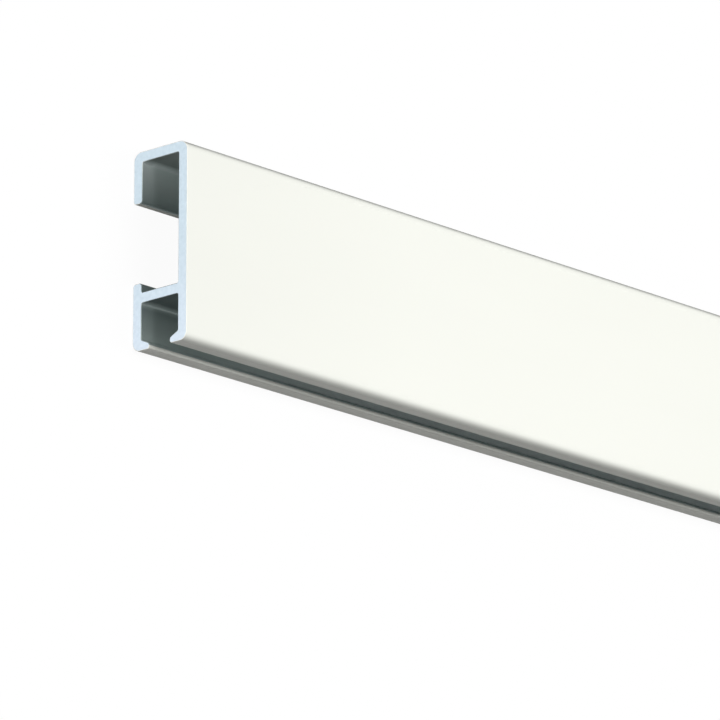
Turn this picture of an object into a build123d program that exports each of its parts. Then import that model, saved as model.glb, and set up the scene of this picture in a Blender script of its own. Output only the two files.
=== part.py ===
from build123d import *
import os

# Clip-on picture hanging rail: one straight piece of extruded aluminium, cut square.
# It lies on its back, as it would on a floor. X runs along the rail. Y runs across its
# height, with the top edge towards +Y and the hook slot towards -Y. Z runs from the
# wall side out to the front face. The origin is at the middle of the length and of the
# height, on the plane where the two rear lips touch the wall.

# Stock, in millimetres
rail_length = 1000.0       # as sold
rail_height = 28.0         # bottom edge to top edge
rail_depth = 10.0          # wall side to front face

# Walls
front_plate = 1.6          # plate that shows in the room
rear_lip = 1.6             # both lips that lie on the wall
top_flange = 1.5           # flange between the plate and the upper lip
shelf = 1.5                # web between the clip channel and the hook channel

# Clip channel, which snaps over clips screwed to the wall
upper_lip_drop = 7.3       # top edge down to the tip of the upper lip
lower_lip_rise = 1.35      # shelf up to the tip of the lower lip

# Hook channel, which the hangers slide along, open through a slot in the bottom edge
shelf_height = 6.65        # bottom edge up to the underside of the shelf
slot_width = 3.8           # gap between the two toes
toe_root = 1.5             # height of a toe where it leaves its wall
toe_tip = 0.8              # height of a toe beside the slot

# Roundings
top_front_radius = 1.5     # upper long corner of the face that shows in the room
low_front_radius = 1.2     # lower long corner of that face
rear_radius = 1.3          # both long corners on the wall side
lip_radius = 0.45          # both edges of each lip's tip
toe_radius = 0.4           # both edges of each toe's tip
inner_radius = 0.25        # corners inside the two channels

# Extruded aluminium, in kilograms for each cubic millimetre
density = 2.7e-6

# Levels across the height
top_edge = rail_height / 2
bottom_edge = -rail_height / 2
flange_underside = top_edge - top_flange
upper_lip_end = top_edge - upper_lip_drop
shelf_underside = bottom_edge + shelf_height
shelf_top = shelf_underside + shelf
lower_lip_end = shelf_top + lower_lip_rise

# Levels out from the wall
plate_inside = rail_depth - front_plate
channel_depth = plate_inside - rear_lip
channel_middle = rear_lip + channel_depth / 2
slot_rear = channel_middle - slot_width / 2

with BuildPart() as rail:
    # Section across the rail: X of the sketch is up the wall, Y is out from the wall
    with BuildSketch(Plane.YZ) as section:
        Rectangle(rail_height, rail_depth, align=(Align.CENTER, Align.MIN))
        fillet(section.vertices().group_by(Axis.Y)[0], rear_radius)
        top_front_corner = section.vertices().group_by(Axis.Y)[-1].sort_by(Axis.X)[-1]
        fillet(top_front_corner, top_front_radius)
        low_front_corner = section.vertices().group_by(Axis.Y)[-1].sort_by(Axis.X)[0]
        fillet(low_front_corner, low_front_radius)

        # Clip channel, behind the plate and between the shelf and the flange
        with Locations((shelf_top, rear_lip)):
            Rectangle(
                flange_underside - shelf_top,
                channel_depth,
                align=(Align.MIN, Align.MIN),
                mode=Mode.SUBTRACT,
            )
        fillet(section.vertices(Select.LAST), inner_radius)

        # Mouth of the clip channel, between the tips of the two lips
        with Locations((lower_lip_end, 0)):
            Rectangle(
                upper_lip_end - lower_lip_end,
                rear_lip,
                align=(Align.MIN, Align.MIN),
                mode=Mode.SUBTRACT,
            )
        fillet(section.vertices(Select.LAST), lip_radius)

        # Hook channel with its slot: one half is drawn and mirrored, so that the two
        # toes with their sloping upper faces are alike
        with BuildLine():
            FilletPolyline(
                (shelf_underside, channel_middle),
                (shelf_underside, rear_lip),
                (bottom_edge + toe_root, rear_lip),
                (bottom_edge + toe_tip, slot_rear),
                (bottom_edge, slot_rear),
                radius=(inner_radius, inner_radius, toe_radius),
            )
            Line((bottom_edge, slot_rear), (bottom_edge, channel_middle))
            mirror(about=Plane((0, channel_middle, 0), z_dir=(0, 1, 0)))
        make_face(mode=Mode.SUBTRACT)
        slot_edges = section.vertices(Select.LAST).group_by(Axis.X)[0]
        fillet(slot_edges, toe_radius)

    extrude(amount=rail_length / 2, both=True)

rail.part.label = "rail"

os.makedirs("parts", exist_ok=True)
export_step(rail.part, "parts/rail.step")
print("Section area", round(section.sketch.area, 2), "mm2")
print("Weight", round(rail.part.volume * density, 4), "kg")
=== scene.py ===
import math

import bpy
from mathutils import Matrix, Vector


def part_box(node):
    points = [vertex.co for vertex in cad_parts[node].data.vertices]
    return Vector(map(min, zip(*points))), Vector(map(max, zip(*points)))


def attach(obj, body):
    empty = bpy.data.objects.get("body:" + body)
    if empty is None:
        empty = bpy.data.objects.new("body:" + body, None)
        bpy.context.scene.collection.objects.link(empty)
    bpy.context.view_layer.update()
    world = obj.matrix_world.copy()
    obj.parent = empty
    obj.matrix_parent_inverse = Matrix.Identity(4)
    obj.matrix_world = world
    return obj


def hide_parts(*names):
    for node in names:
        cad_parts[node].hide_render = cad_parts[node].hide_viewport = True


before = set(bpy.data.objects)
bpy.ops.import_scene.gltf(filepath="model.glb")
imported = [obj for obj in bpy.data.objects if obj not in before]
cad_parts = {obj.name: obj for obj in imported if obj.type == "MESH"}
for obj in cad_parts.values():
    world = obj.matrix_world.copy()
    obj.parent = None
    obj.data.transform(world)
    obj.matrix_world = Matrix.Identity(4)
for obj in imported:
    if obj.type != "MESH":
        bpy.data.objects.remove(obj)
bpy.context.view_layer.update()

# A length of picture hanging rail, lying on its back with its front face up.
# X runs along the rail, Y across its height with the hook slot towards -Y, and Z out
# from the wall side. Lengths are in metres, and the section is written in millimetres.
MM = 0.001

# The rail's section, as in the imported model
rail_low, rail_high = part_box("rail")
RAIL_HALF_LENGTH = rail_high.x
BOTTOM = rail_low.y / MM
TOP = rail_high.y / MM
DEPTH = rail_high.z / MM
FRONT_PLATE = 1.6
REAR_LIP = 1.6
TOP_FLANGE = 1.5
SHELF = 1.5
UPPER_LIP_DROP = 7.3
LOWER_LIP_RISE = 1.35
SHELF_HEIGHT = 6.65
SLOT_WIDTH = 3.8
TOE_ROOT = 1.5
TOE_TIP = 0.8
TOP_FRONT_RADIUS = 1.5
LOW_FRONT_RADIUS = 1.2
REAR_RADIUS = 1.3
LIP_RADIUS = 0.45
TOE_RADIUS = 0.4
INNER_RADIUS = 0.25
SLOT_MIDDLE = (REAR_LIP + DEPTH - FRONT_PLATE) / 2

# Material slots of the visible mesh. A channel's roof is the face that looks towards
# the bottom edge, and its other faces are walls. The roofs are darker than the walls
# with painted shade.
COAT, WALL, ROOF, SAWN = range(4)

# How finely the visible mesh is cut
ARC_STEP = 9.0              # degrees of each arc between two points
RING_SPACING = 25 * MM      # between two rings of points along the rail
EDGE_BREAK = 0.09           # the saw's edge, rounded off by this much, in mm
EDGE_STEPS = 3

# Grey on the rounded long corners. It stands in for the photograph's light, which these
# lamps don't give there, and doesn't say that the coat is thin. Directions are in degrees
# from the front or the wall.
CORNER_SHADE_FROM = 20
CORNER_SHADE_TO = 90
CORNER_SHADE_STEP = 5
UPPER_CORNER_SHADE = (56, 66, 0.8)  # strongest from and to, and its share of grey
LOWER_CORNER_SHADE = (64, 70, 0.4)

# Colours, as the darker and the lighter one where there are two. They were set by
# comparing the render with the photograph, so those of the channels, the slot, the cut
# and the sawn end hold some of its light and shadow.
COAT_COLOURS = (0.926, 0.936, 0.872), (0.946, 0.956, 0.892)
# Grey of the metal's lines on the narrow edges, and of the painted shade on the coat
STREAK_AND_SHADE_GREY = (0.20, 0.205, 0.195)
# Painted shade on the bare metal right at a cut
CUT_SHADE = (0.03, 0.04, 0.045)
# Painted light deep inside the slot, on the channels' walls
SLOT_PAINTED_LIGHT = (0.92, 0.98, 0.97)
CHANNEL_METAL = (0.25, 0.31, 0.305)
# The channels' walls, by the height above the middle in mm, with painted light and
# shade on the metal's tone
WALL_TONES = (
    (-12.7, (0.46, 0.54, 0.53)), (-12.4, (0.53, 0.62, 0.60)), (-8.1, (0.28, 0.34, 0.335)),
    (-7.6, (0.42, 0.49, 0.48)), (-6.8, CHANNEL_METAL), (6.5, CHANNEL_METAL),
    (12.5, (0.72, 0.80, 0.78)),
)
# The channels' roofs, with painted shade, and their corners at the rear lip, with
# painted light, lower and upper
SHADED_ROOF_COLOURS = (0.11, 0.14, 0.14), (0.27, 0.31, 0.30)
ROOF_CORNER_PAINTED_LIGHT = (0.50, 0.57, 0.56), (0.78, 0.84, 0.83)
# The sawn end at mid height and above, and at the bottom edge, which painted light
# makes lighter
SAWN_UPPER = (0.61, 0.735, 0.82), (0.68, 0.80, 0.885)
SAWN_LOWER = (0.69, 0.795, 0.90), (0.76, 0.855, 0.955)

# Strengths of the metal's lines and of the painted shade on the coat and the metal,
# as shares of grey
STREAKS = 0.12              # of the metal's lines, on the narrow edges
SLOT_SHADE = 0.25           # beside the slot
END_SHADE = 0.055           # at the ends
CUT_DARKNESS = 0.35         # on the bare metal right at a cut

# Grain of the surfaces, in cells for each metre along the rail and across it
COAT_CLOUDS = (14, 60, 60)
COAT_LINES = (6, 2600, 2600)
COAT_PEEL = (900, 900, 900)
DRAWN_LINES = (3, 1500, 1500)
SAWN_MOTTLE = (1700, 1700, 1700)
BLADE_OFFSET = (0, 0.11, 0.06)  # from the middle of the saw's blade to the rail's

# Light
WORLD_LEVEL = 0.14
FLOOR_GREY = 0.2            # for the light that it throws back
FLOOR_GLOW = 0.95           # share of plain white in what the camera sees of it
FLOOR_REACH = 12.0
FLOOR_DROP = 0.02 * MM      # below the rail, so that the two don't flicker

# The photograph's camera, from the picture's own perspective, with the rail upright:
# turned from square on, and tilted up because it looks from below
CAMERA_TURN = math.radians(47.33)
CAMERA_TILT = math.radians(16.288)
CAMERA_DISTANCE = 1052.7 * MM
FOCAL_PIXELS = 7874.0
SENSOR_WIDTH = 36.0
CAMERA_SEES = (0.05, 50.0)  # nearest and furthest
PICTURE_SIZE = 720
# Where the photograph shows the near end's front edge, half way up, in pixels
NEAR_EDGE_PIXEL = (186.42, 239.46)
NEAR_EDGE_HEIGHT = -0.245   # of that point, from the middle of the height, in mm


def section_corners():
    """The section's corners in turn: up the wall, out from the wall, radius, and the
    material slot of the face after the corner."""
    flange_underside = TOP - TOP_FLANGE
    upper_lip_end = TOP - UPPER_LIP_DROP
    shelf_underside = BOTTOM + SHELF_HEIGHT
    shelf_top = shelf_underside + SHELF
    lower_lip_end = shelf_top + LOWER_LIP_RISE
    plate_inside = DEPTH - FRONT_PLATE
    slot_rear = SLOT_MIDDLE - SLOT_WIDTH / 2
    slot_front = SLOT_MIDDLE + SLOT_WIDTH / 2
    return [
        (BOTTOM, DEPTH, LOW_FRONT_RADIUS, COAT),
        (TOP, DEPTH, TOP_FRONT_RADIUS, COAT),
        (TOP, 0, REAR_RADIUS, COAT),
        (upper_lip_end, 0, LIP_RADIUS, COAT),
        (upper_lip_end, REAR_LIP, LIP_RADIUS, WALL),
        (flange_underside, REAR_LIP, INNER_RADIUS, ROOF),
        (flange_underside, plate_inside, INNER_RADIUS, WALL),
        (shelf_top, plate_inside, INNER_RADIUS, WALL),
        (shelf_top, REAR_LIP, INNER_RADIUS, WALL),
        (lower_lip_end, REAR_LIP, LIP_RADIUS, COAT),
        (lower_lip_end, 0, LIP_RADIUS, COAT),
        (BOTTOM, 0, REAR_RADIUS, COAT),
        (BOTTOM, slot_rear, TOE_RADIUS, COAT),
        (BOTTOM + TOE_TIP, slot_rear, TOE_RADIUS, WALL),
        (BOTTOM + TOE_ROOT, REAR_LIP, INNER_RADIUS, WALL),
        (shelf_underside, REAR_LIP, INNER_RADIUS, ROOF),
        (shelf_underside, plate_inside, INNER_RADIUS, WALL),
        (BOTTOM + TOE_ROOT, plate_inside, INNER_RADIUS, WALL),
        (BOTTOM + TOE_TIP, slot_front, TOE_RADIUS, COAT),
        (BOTTOM, slot_front, TOE_RADIUS, COAT),
    ]


def rounded_outline(corners):
    """Points round the section with an arc at each corner, as (point, outward
    direction, slot of the face after it). An arc takes the higher slot of its two
    neighbours."""
    outline = []
    count = len(corners)
    for i, (up, out, radius, slot) in enumerate(corners):
        here = Vector((up, out))
        before = Vector(corners[i - 1][:2])
        after = Vector(corners[(i + 1) % count][:2])
        back = (before - here).normalized()
        on = (after - here).normalized()
        opening = back.angle(on)
        turn = math.pi - opening
        centre = here + (back + on).normalized() * radius / math.sin(opening / 2)
        reach = radius / math.tan(opening / 2)
        start = (here + back * reach - centre) / radius
        end = (here + on * reach - centre) / radius
        # Going round with the solid on the right, an outer corner turns right
        side = 1 if back.x * on.y - back.y * on.x > 0 else -1
        arc_slot = max(corners[i - 1][3], slot)
        steps = max(3, round(math.degrees(turn) / ARC_STEP))
        for step in range(steps + 1):
            share = step / steps
            spoke = start * math.sin((1 - share) * turn) + end * math.sin(share * turn)
            spoke /= math.sin(turn)
            outline.append((
                centre + spoke * radius, spoke * side, arc_slot if step < steps else slot
            ))
    return outline


def ring_places():
    """The rings of points along the rail, as (x, how far the ring is drawn in)."""
    rounding = []
    for step in range(EDGE_STEPS + 1):
        angle = math.pi / 2 * step / EDGE_STEPS
        drawn_in = EDGE_BREAK * (1 - math.sin(angle))
        from_end = EDGE_BREAK * (1 - math.cos(angle)) * MM
        rounding.append((from_end, drawn_in))
    places = [(-RAIL_HALF_LENGTH + x, drawn_in) for x, drawn_in in rounding]
    first = places[-1][0]
    spans = round(2 * RAIL_HALF_LENGTH / RING_SPACING)
    places += [(first - 2 * first * k / spans, 0) for k in range(1, spans)]
    places += [(RAIL_HALF_LENGTH - x, drawn_in) for x, drawn_in in reversed(rounding)]
    return places


def make_rail(materials):
    """The rail's visible mesh: the section with true arcs, swept along the length."""
    outline = rounded_outline(section_corners())
    rings = ring_places()
    around = len(outline)
    points = []
    for x, drawn_in in rings:
        for point, outward, _ in outline:
            place = (point - outward * drawn_in) * MM
            points.append((x, place.x, place.y))
    faces = []
    slots = []
    for ring in range(len(rings) - 1):
        for i in range(around):
            j = (i + 1) % around
            base = ring * around
            faces.append((base + i, base + around + i, base + around + j, base + j))
            slots.append(outline[i][2])
    last = (len(rings) - 1) * around
    faces.append(tuple(range(around)))
    faces.append(tuple(last + i for i in reversed(range(around))))
    slots += [SAWN, SAWN]
    mesh = bpy.data.meshes.new("rail_profile")
    mesh.from_pydata(points, [], faces)
    for material in materials:
        mesh.materials.append(material)
    mesh.polygons.foreach_set("material_index", slots)
    mesh.polygons.foreach_set("use_smooth", [True] * len(faces))
    mesh.validate()
    rail = bpy.data.objects.new("rail_profile", mesh)
    bpy.context.scene.collection.objects.link(rail)
    weighted = rail.modifiers.new("flat_faces_stay_flat", "WEIGHTED_NORMAL")
    weighted.weight = 100
    return rail


def new_material(name):
    """A material with only a Principled shader and its output."""
    material = bpy.data.materials.new(name)
    material.use_nodes = True
    return material, material.node_tree, material.node_tree.nodes["Principled BSDF"]


def add(tree, kind, **values):
    """A node with its sockets or settings given by name."""
    node = tree.nodes.new(kind)
    for name, value in values.items():
        if hasattr(node, name):
            setattr(node, name, value)
        else:
            node.inputs[name.replace("_", " ")].default_value = value
    return node


def scaled_place(tree, scale):
    """The place on the rail, multiplied by a scale for each axis."""
    place = add(tree, "ShaderNodeTexCoord")
    mapping = add(tree, "ShaderNodeMapping", Scale=scale)
    tree.links.new(place.outputs["Object"], mapping.inputs["Vector"])
    return mapping.outputs["Vector"]


def noise(tree, scale, detail=2.0, roughness=0.5):
    """Noise with its own scale for each axis, in cells for each metre."""
    texture = add(tree, "ShaderNodeTexNoise", Scale=1.0, Detail=detail, Roughness=roughness)
    tree.links.new(scaled_place(tree, scale), texture.inputs["Vector"])
    return texture.outputs["Fac"]


def between(tree, value, low, high, from_low=0.3, from_high=0.7):
    """A value's range moved to another one."""
    node = add(
        tree, "ShaderNodeMapRange",
        From_Min=from_low, From_Max=from_high, To_Min=low, To_Max=high,
    )
    tree.links.new(value, node.inputs["Value"])
    return node.outputs["Result"]


def blended_colour(tree, factor, first, second):
    """One colour turning into another with the factor. Each is three numbers, or
    another node's colour."""
    node = add(tree, "ShaderNodeMix", data_type="RGBA")
    tree.links.new(factor, node.inputs["Factor"])
    for socket, colour in ((node.inputs[6], first), (node.inputs[7], second)):
        if isinstance(colour, tuple):
            socket.default_value = (*colour, 1)
        else:
            tree.links.new(colour, socket)
    return node.outputs[2]


def multiplied(tree, first, second):
    """Two values multiplied."""
    node = add(tree, "ShaderNodeMath", operation="MULTIPLY")
    tree.links.new(first, node.inputs[0])
    tree.links.new(second, node.inputs[1])
    return node.outputs[0]


def bumps(tree, shader, heights):
    """Bumps on the shader, one after another, as (height, strength, size in metres)."""
    normal = None
    for height, strength, distance in heights:
        bump = add(tree, "ShaderNodeBump", Strength=strength, Distance=distance)
        tree.links.new(height, bump.inputs["Height"])
        if normal is not None:
            tree.links.new(normal, bump.inputs["Normal"])
        normal = bump.outputs["Normal"]
    tree.links.new(normal, shader.inputs["Normal"])


def axis_values(tree, coordinate):
    """The place on the rail ("Object") or the surface's direction ("Normal"), as one
    value for each axis."""
    place = add(tree, "ShaderNodeTexCoord")
    parts = add(tree, "ShaderNodeSeparateXYZ")
    tree.links.new(place.outputs[coordinate], parts.inputs[0])
    return parts.outputs


def ramp(tree, value, stops):
    """A colour looked up from stops as (place from 0 to 1, colour)."""
    node = add(tree, "ShaderNodeValToRGB")
    elements = node.color_ramp.elements
    elements.remove(elements[1])
    for i, (place, colour) in enumerate(stops):
        stop = elements[0] if i == 0 else elements.new(place)
        stop.position = place
        stop.color = (*colour, 1)
    tree.links.new(value, node.inputs["Fac"])
    return node.outputs["Color"]


def smooth_step(value, start, end):
    """0 up to start, 1 from end on, and a smooth rise between them."""
    share = min(max((value - start) / (end - start), 0), 1)
    return share * share * (3 - 2 * share)


def corner_shade(tree):
    """How much painted shade, as grey, the coat gets by the surface's direction: none on
    the faces, most on the rounded long corners."""
    stops = []
    for side, corner in ((-1, LOWER_CORNER_SHADE), (1, UPPER_CORNER_SHADE)):
        strongest_from, strongest_to, most = corner
        for turned in range(CORNER_SHADE_FROM, CORNER_SHADE_TO + 1, CORNER_SHADE_STEP):
            rise = smooth_step(turned, CORNER_SHADE_FROM, strongest_from)
            fall = smooth_step(turned, strongest_to, CORNER_SHADE_TO)
            grey = most * rise * (1 - fall)
            place = (side * math.sin(math.radians(turned)) + 1) / 2
            stops.append((place, (grey, grey, grey)))
    share = between(tree, axis_values(tree, "Normal")["Y"], 0, 1, -1, 1)
    return ramp(tree, share, sorted(stops))


def from_middle(tree, axis, middle=0.0):
    """How far a point is from a plane across an axis, on either side."""
    offset = add(tree, "ShaderNodeMath", operation="SUBTRACT")
    tree.links.new(axis_values(tree, "Object")[axis], offset.inputs[0])
    offset.inputs[1].default_value = middle
    distance = add(tree, "ShaderNodeMath", operation="ABSOLUTE")
    tree.links.new(offset.outputs[0], distance.inputs[0])
    return distance.outputs[0]


def towards_ends(tree, inner, outer, far, near):
    """A value that goes from inner to outer as the nearer end of the rail gets closer,
    between two distances from it in mm."""
    return between(
        tree, from_middle(tree, "X"), inner, outer,
        RAIL_HALF_LENGTH - far * MM, RAIL_HALF_LENGTH - near * MM,
    )


def coat_material():
    """Warm white satin coat, with faint lines along the rail and streaks of grey on
    the narrow edges. The grey on the long corners, beside the slot and towards the
    ends stands in for the photograph's light and shadow there."""
    material, tree, shader = new_material("warm_white_coat")
    cloudy = noise(tree, COAT_CLOUDS, detail=3)
    colour = blended_colour(tree, between(tree, cloudy, 0, 1), *COAT_COLOURS)
    # Painted shade on the rounded long corners
    colour = blended_colour(tree, corner_shade(tree), colour, STREAK_AND_SHADE_GREY)
    lines = noise(tree, COAT_LINES)
    facing = axis_values(tree, "Normal")
    narrow = between(tree, multiplied(tree, facing["Y"], facing["Y"]), 0, 1, 0.7, 1)
    streaks = multiplied(tree, narrow, between(tree, lines, 0, STREAKS))
    colour = blended_colour(tree, streaks, colour, STREAK_AND_SHADE_GREY)
    # Painted shade beside the slot, less towards the ends
    off_slot = from_middle(tree, "Z", SLOT_MIDDLE * MM)
    beside_slot = between(tree, off_slot, SLOT_SHADE, 0, 2 * MM, 2.2 * MM)
    low = between(tree, axis_values(tree, "Object")["Y"], 1, 0, -10 * MM, -9 * MM)
    off_end = towards_ends(tree, 1, 0, 30, 1)
    slot_shade = multiplied(tree, off_end, multiplied(tree, beside_slot, low))
    colour = blended_colour(tree, slot_shade, colour, STREAK_AND_SHADE_GREY)
    # Painted shade towards the ends
    end_shade = towards_ends(tree, 0, END_SHADE, 45, 3)
    colour = blended_colour(tree, end_shade, colour, STREAK_AND_SHADE_GREY)
    tree.links.new(colour, shader.inputs["Base Color"])
    shader.inputs["Specular IOR Level"].default_value = 0.12
    peel = noise(tree, COAT_PEEL)
    tree.links.new(between(tree, peel, 0.5, 0.6), shader.inputs["Roughness"])
    bumps(tree, shader, [(lines, 0.25, 0.01 * MM), (peel, 0.3, 0.012 * MM)])
    return material


def bare_metal(name, colour_of):
    """Dull drawn aluminium with lines along the rail, and painted shade right at the
    cut. The colour comes from a function of the node tree."""
    material, tree, shader = new_material(name)
    # Painted shade right at the cut
    at_cut = towards_ends(tree, 0, CUT_DARKNESS, 2, 0)
    colour = blended_colour(tree, at_cut, colour_of(tree), CUT_SHADE)
    tree.links.new(colour, shader.inputs["Base Color"])
    shader.inputs["Metallic"].default_value = 0.3
    lines = noise(tree, DRAWN_LINES, detail=3, roughness=0.6)
    tree.links.new(between(tree, lines, 0.45, 0.55), shader.inputs["Roughness"])
    bumps(tree, shader, [(lines, 0.3, 0.01 * MM)])
    return material


def wall_colour(tree):
    """The channels' walls in the photograph's tones: bare metal with painted light and
    shade, lighter towards the top and bottom edges, just under the shelf, and inside
    the slot, and a little darker on the toes."""
    height = axis_values(tree, "Object")["Y"]
    share = between(tree, height, 0, 1, BOTTOM * MM, TOP * MM)
    stops = [((up - BOTTOM) / (TOP - BOTTOM), colour) for up, colour in WALL_TONES]
    colour = ramp(tree, share, stops)
    # Painted light on the walls deep inside the slot, off the toes
    toes_top = BOTTOM + TOE_ROOT
    low = between(tree, height, 1, 0, toes_top * MM, (toes_top + 6) * MM)
    off_end = towards_ends(tree, 1, 0, 38, 12)
    off_toes = between(tree, height, 0, 1, (toes_top - 0.35) * MM, toes_top * MM)
    pale = multiplied(tree, multiplied(tree, low, off_end), off_toes)
    return blended_colour(tree, pale, colour, SLOT_PAINTED_LIGHT)


def shaded_roof_colour(tree):
    """The channels' roofs in the photograph's tones, with painted shade: dark, darkest
    over the hook channel, and with painted light in the corner at the rear lip."""
    place = axis_values(tree, "Object")
    upper = between(tree, place["Y"], 0, 1, 0, 5 * MM)
    roof = blended_colour(tree, upper, *SHADED_ROOF_COLOURS)
    corner = blended_colour(tree, upper, *ROOF_CORNER_PAINTED_LIGHT)
    off_rear = between(tree, place["Z"], 0, 1, 1.8 * MM, 3.2 * MM)
    return blended_colour(tree, off_rear, corner, roof)


def sawn_material():
    """The bare sawn end, with the faint curved marks of a large circular blade, and
    painted light that makes it lighter towards the bottom edge.
    """
    material, tree, shader = new_material("sawn_end")
    marks = add(
        tree, "ShaderNodeTexWave", wave_type="RINGS", rings_direction="X",
        Scale=420.0, Distortion=1.2, Detail=2.0, Detail_Scale=1.5,
    )
    place = add(tree, "ShaderNodeTexCoord")
    blade = add(tree, "ShaderNodeMapping", Location=BLADE_OFFSET)
    tree.links.new(place.outputs["Object"], blade.inputs["Vector"])
    tree.links.new(blade.outputs["Vector"], marks.inputs["Vector"])
    mottle = noise(tree, SAWN_MOTTLE, detail=3)
    lower = between(tree, axis_values(tree, "Object")["Y"], 1, 0, BOTTOM * MM, 0)
    dull = blended_colour(tree, lower, SAWN_UPPER[0], SAWN_LOWER[0])
    pale = blended_colour(tree, lower, SAWN_UPPER[1], SAWN_LOWER[1])
    colour = blended_colour(tree, between(tree, mottle, 0, 1), dull, pale)
    tree.links.new(colour, shader.inputs["Base Color"])
    shader.inputs["Metallic"].default_value = 0.45
    tree.links.new(between(tree, mottle, 0.42, 0.52), shader.inputs["Roughness"])
    bumps(tree, shader, [(marks.outputs["Fac"], 0.2, 0.01 * MM), (mottle, 0.2, 0.01 * MM)])
    return material


def seen(tree):
    """1 for rays that show the background: from the camera, or off or through gloss."""
    path = add(tree, "ShaderNodeLightPath")
    total = path.outputs["Is Camera Ray"]
    for name in ("Is Glossy Ray", "Is Transmission Ray"):
        node = add(tree, "ShaderNodeMath", operation="ADD", use_clamp=True)
        tree.links.new(total, node.inputs[0])
        tree.links.new(path.outputs[name], node.inputs[1])
        total = node.outputs[0]
    return total


def make_floor():
    """A pale floor under the rail, white to the camera apart from the soft shadow."""
    size = FLOOR_REACH
    corners = [(-size, -size), (size, -size), (size, size), (-size, size)]
    mesh = bpy.data.meshes.new("floor")
    mesh.from_pydata([(x, y, -FLOOR_DROP) for x, y in corners], [], [(0, 1, 2, 3)])
    floor = bpy.data.objects.new("floor", mesh)
    bpy.context.scene.collection.objects.link(floor)
    material = bpy.data.materials.new("floor")
    material.use_nodes = True
    tree = material.node_tree
    tree.nodes.clear()
    dim = add(tree, "ShaderNodeBsdfDiffuse", Color=(FLOOR_GREY, FLOOR_GREY, FLOOR_GREY, 1))
    pale = add(tree, "ShaderNodeBsdfDiffuse", Color=(1, 1, 1, 1))
    white = add(tree, "ShaderNodeEmission", Strength=1.0)
    shown = add(tree, "ShaderNodeMixShader", Fac=FLOOR_GLOW)
    tree.links.new(pale.outputs[0], shown.inputs[1])
    tree.links.new(white.outputs[0], shown.inputs[2])
    choice = add(tree, "ShaderNodeMixShader")
    tree.links.new(seen(tree), choice.inputs[0])
    tree.links.new(dim.outputs[0], choice.inputs[1])
    tree.links.new(shown.outputs[0], choice.inputs[2])
    output = add(tree, "ShaderNodeOutputMaterial")
    tree.links.new(choice.outputs[0], output.inputs["Surface"])
    mesh.materials.append(material)


def make_world():
    """Even dim light from all round, and white where the camera sees past the floor."""
    world = bpy.data.worlds.new("studio")
    world.use_nodes = True
    tree = world.node_tree
    background = tree.nodes["Background"]
    level = add(tree, "ShaderNodeMapRange", To_Min=WORLD_LEVEL, To_Max=1.0)
    tree.links.new(seen(tree), level.inputs["Value"])
    tree.links.new(level.outputs["Result"], background.inputs["Strength"])
    background.inputs["Color"].default_value = (1, 1, 1, 1)
    bpy.context.scene.world = world


def make_lamp(name, place, target, size, watts):
    """A soft lamp turned towards a point, which the camera doesn't see."""
    lamp = bpy.data.lights.new(name, "AREA")
    lamp.shape = "RECTANGLE"
    lamp.size, lamp.size_y = size
    lamp.energy = watts
    holder = bpy.data.objects.new(name, lamp)
    bpy.context.scene.collection.objects.link(holder)
    holder.location = place
    towards = Vector(target) - Vector(place)
    holder.rotation_mode = "QUATERNION"
    holder.rotation_quaternion = towards.to_track_quat("-Z", "Y")
    holder.visible_camera = False


def make_camera():
    """The photograph's view. The rail was upright there, so the camera is rolled."""
    turn, tilt = CAMERA_TURN, CAMERA_TILT
    right = Vector((math.cos(turn), 0, math.sin(turn)))
    forward = Vector((
        math.cos(tilt) * math.sin(turn), math.sin(tilt), -math.cos(tilt) * math.cos(turn)
    ))
    up = right.cross(forward)
    data = bpy.data.cameras.new("camera")
    data.sensor_width = SENSOR_WIDTH
    data.lens = FOCAL_PIXELS * data.sensor_width / PICTURE_SIZE
    data.clip_start, data.clip_end = CAMERA_SEES
    camera = bpy.data.objects.new("camera", data)
    bpy.context.scene.collection.objects.link(camera)
    middle = (PICTURE_SIZE - 1) / 2
    across = (NEAR_EDGE_PIXEL[0] - middle) / FOCAL_PIXELS * CAMERA_DISTANCE
    above = (middle - NEAR_EDGE_PIXEL[1]) / FOCAL_PIXELS * CAMERA_DISTANCE
    near_edge = Vector((-RAIL_HALF_LENGTH, NEAR_EDGE_HEIGHT * MM, DEPTH * MM))
    camera.matrix_world = Matrix.LocRotScale(
        near_edge - right * across - up * above - forward * CAMERA_DISTANCE,
        Matrix((right, up, -forward)).transposed().to_quaternion(),
        None,
    )
    bpy.context.scene.camera = camera


bpy.context.scene.view_settings.view_transform = "Standard"
make_camera()
make_world()
make_floor()
make_lamp("lamp_above", place=(0, 0, 2.6), target=(0, 0, 0), size=(3.2, 0.7), watts=65)
make_lamp("lamp_left", place=(-2.6, 0, 0.4), target=(-0.45, 0, 0), size=(1.4, 0.5), watts=31)

rail = make_rail((
    coat_material(),
    bare_metal("channel_wall", wall_colour),
    bare_metal("channel_roof_painted_shade", shaded_roof_colour),
    sawn_material(),
))
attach(rail, "root")
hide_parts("rail")
